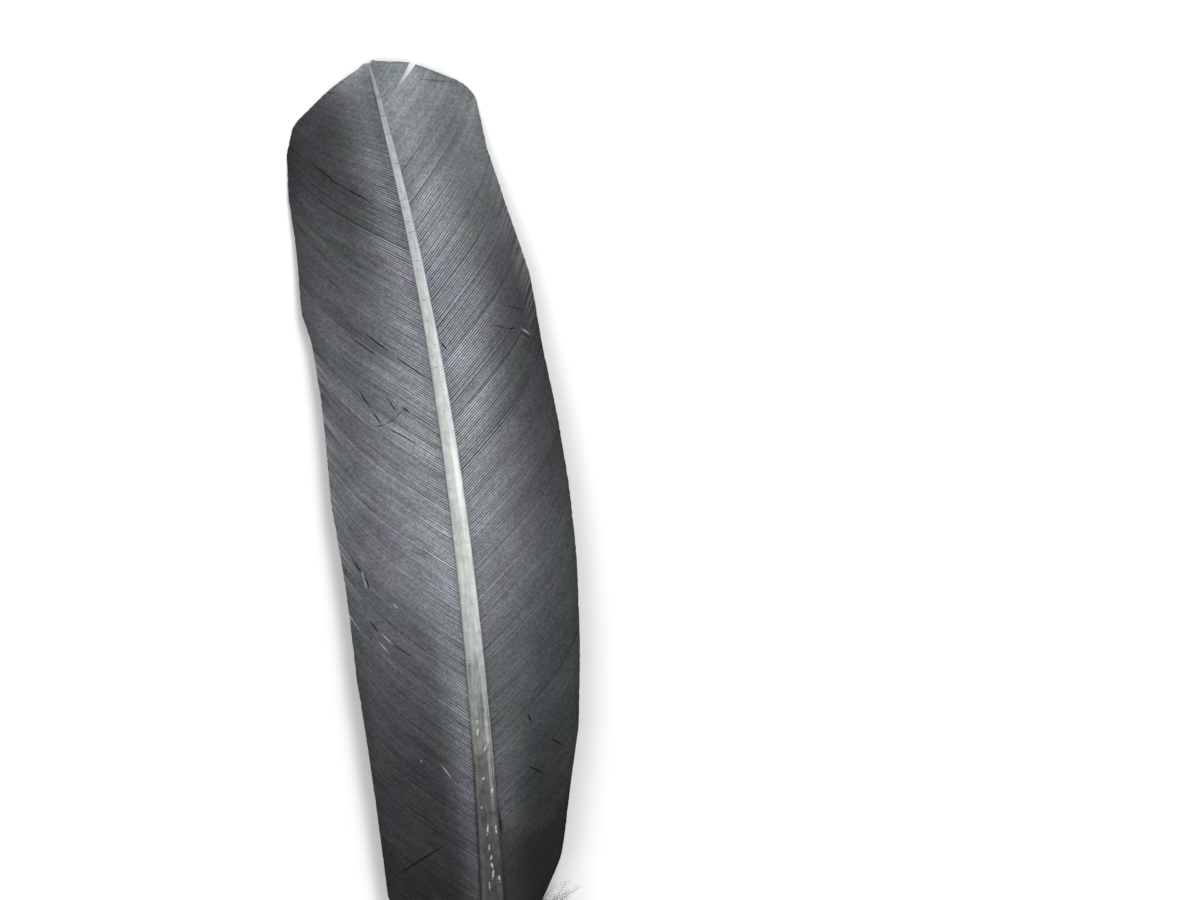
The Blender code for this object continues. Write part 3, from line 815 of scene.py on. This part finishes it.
def barbule_lines(threads, chance):
    """Lines of the barbules along both sides of the threads."""
    at = np.linspace(0.06, 1, BARBULES)
    rings = np.linspace(0, 1, threads.shape[1])
    foot = np.stack([[np.interp(at, rings, line[:, k]) for k in range(3)] for line in threads])
    foot = foot.transpose(0, 2, 1)
    ahead = unit(np.gradient(foot, axis=1))
    hand = np.where(np.arange(BARBULES) % 2, 1, -1)[None, :, None]
    shape = foot.shape[:2] + (1,)
    beside = np.cross(ahead, (0, 0, 1)) * hand + chance.normal(0, 0.35, foot.shape) * (0.4, 0.4, 1)
    lean = chance.uniform(0.5, 1.1, shape)
    long = np.interp(at, (0, 1), BARBULE_LENGTHS)[None, :, None] * chance.uniform(0.6, 1.1, shape)
    middle = foot + unit(ahead * lean + beside) * long * 0.5
    end = middle + unit(ahead * (lean + 0.7) + beside * 0.7 + (0, 0, -0.1)) * long * 0.5
    lines = np.stack([foot, middle, end], axis=2)
    return lines.reshape(-1, 3, 3)


fluff = Shader("dyed_down", Roughness=0.75)
fluff_tone = fluff.ramp(fluff.noise(300, 3), (0.3, (0.022, 0.023, 0.026)), (0.7, (0.075, 0.078, 0.086)))
fluff.join("Base Color", fluff_tone)
fluff.join("Roughness", fluff.ramp(fluff.noise(900, 2), (0.3, 0.66), (0.7, 0.82)))
for side, seed in (("left", 21), ("right", 22)):
    chance = np.random.default_rng(seed)
    threads = down_lines(side, chance)
    down_mesh = strands(f"{side}_down", threads, DOWN_TAPER * DOWN_WIDTH)
    piece(f"{side}_down", down_mesh, fluff.material)
    barbule_mesh = strands(f"{side}_barbules", barbule_lines(threads, chance), BARBULE_TAPER * BARBULE_WIDTH)
    piece(f"{side}_barbules", barbule_mesh, fluff.material)

# The surface it lies on, the studio light and the camera. The main lamp stands beyond the
# tip and to the right. The camera looks straight down, turned so that the feather leans
# as it does in the photograph, whose lower edge cuts the quill off.
FLOOR_SIZE = 3.0
MM_PER_PIXEL = 0.18 * MM
PHOTO_SIZE = (1200, 900)
TIP_PIXEL = (367.7, 61.5)
LEAN = math.radians(6.9)
FOCUS_HEIGHT = 6 * MM
LENS = 180
SENSOR = 36
SKY_STRENGTH = 0.62
KEY_LAMP = ((0.35, 0.55, 0.75), 0.35, 5.5)  # location, size and power
FILL_LAMP = ((-0.5, -0.2, 0.8), 0.6, 2.0)
bm = bmesh.new()
bmesh.ops.create_grid(bm, x_segments=1, y_segments=1, size=FLOOR_SIZE / 2)
floor_mesh = bpy.data.meshes.new("floor")
bm.to_mesh(floor_mesh)
bm.free()
floor = bpy.data.objects.new("floor", floor_mesh)
bpy.context.collection.objects.link(floor)
paper = Shader("white_board", Roughness=0.8)
paper.join("Base Color", paper.ramp(paper.noise(6, 2), (0.3, 0.90), (0.7, 0.92)))
floor_mesh.materials.append(paper.material)

world = bpy.data.worlds.new("studio")
bpy.context.scene.world = world
world.use_nodes = True
world.node_tree.nodes["Background"].inputs["Color"].default_value = (1, 1, 1, 1)
world.node_tree.nodes["Background"].inputs["Strength"].default_value = SKY_STRENGTH


def lamp(name, location, size, power):
    """A square soft box aimed at the feather."""
    light = bpy.data.lights.new(name, "AREA")
    light.size = size
    light.energy = power
    made = bpy.data.objects.new(name, light)
    made.location = location
    aim = -made.location
    made.rotation_euler = aim.to_track_quat("-Z", "Y").to_euler()
    bpy.context.collection.objects.link(made)


lamp("key", *KEY_LAMP)
lamp("fill", *FILL_LAMP)

tip_x, tip_y, *_ = shaft_line(np.array([SHAFT_LENGTH]))
right = (PHOTO_SIZE[0] / 2 - TIP_PIXEL[0]) * MM_PER_PIXEL
down = (PHOTO_SIZE[1] / 2 - TIP_PIXEL[1]) * MM_PER_PIXEL
camera = bpy.data.objects.new("camera", bpy.data.cameras.new("camera"))
camera.data.lens = LENS
camera.data.sensor_width = SENSOR
camera.data.clip_end = 10
camera.location = (tip_x[0] + right * math.cos(LEAN) - down * math.sin(LEAN),
                   tip_y[0] - right * math.sin(LEAN) - down * math.cos(LEAN),
                   FOCUS_HEIGHT + PHOTO_SIZE[0] * MM_PER_PIXEL * LENS / SENSOR)
camera.rotation_euler = (0, 0, -LEAN)
bpy.context.collection.objects.link(camera)
bpy.context.scene.camera = camera
bpy.context.scene.view_settings.view_transform = "Standard"
